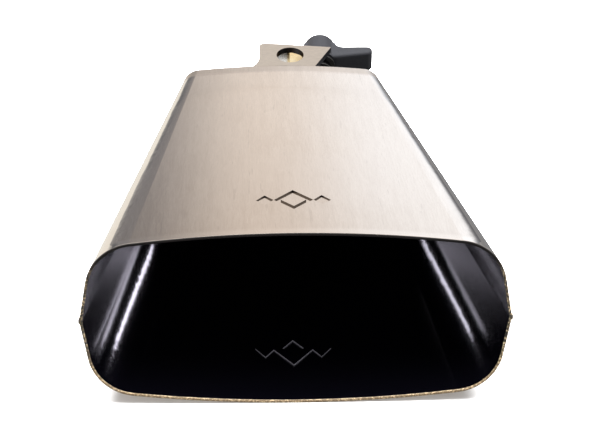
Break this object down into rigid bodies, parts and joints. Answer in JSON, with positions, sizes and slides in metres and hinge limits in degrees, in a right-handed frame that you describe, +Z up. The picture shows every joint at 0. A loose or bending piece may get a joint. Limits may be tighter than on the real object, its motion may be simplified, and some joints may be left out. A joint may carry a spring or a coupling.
{
  "type": "cowbell",
  "caption": "Flared steel cowbell welded from two pressed halves, with a rod clamp and a wing screw at its closed end.",
  "frame": {"origin": "middle of the whole length, on the surface that the lower half lies on", "axes": "+X to the side that the wing screw is on, +Y from the mouth to the closed end, +Z up out of the upper half"},
  "size_m": [0.1352, 0.2484, 0.0582],
  "materials": {
    "bell_outside": "brushed on the faces, polished on the sides, black lacquer inside",
    "weld": "ground and polished",
    "bracket_steel": "satin plated",
    "jaw_zinc": "yellow zinc plated",
    "screw_steel": "black oxide",
    "knob_plastic": "moulded, fine texture"
  },
  "bodies": {
    "bell": {"upper_shell": "bell_outside", "lower_shell": "bell_outside", "seam_weld": "weld", "bracket": "bracket_steel", "bracket_welds": "weld", "nut_block": "bracket_steel"},
    "jaw": {"clamp_jaw": "jaw_zinc", "jaw_washer": "screw_steel"},
    "wing_screw": {"wing_knob": "knob_plastic", "knob_insert": "screw_steel", "screw_shank": "screw_steel", "retaining_ring": "screw_steel"}
  },
  "joints": [
    {"name": "jaw_slide", "type": "slide", "parent": "bell", "child": "jaw", "axis": [0, -0.9802, -0.198], "range_m": [-0.00165, 0.0022]},
    {"name": "screw_turn", "type": "hinge", "parent": "jaw", "child": "wing_screw", "pos_m": [0.017, 0.08041, 0.01529], "axis": [0, -0.9802, -0.198], "range_deg": [-540, 720]}
  ],
  "couplings": [
    {"joint": "jaw_slide", "follows": "screw_turn", "m_per_rad": 0.00015915}
  ]
}
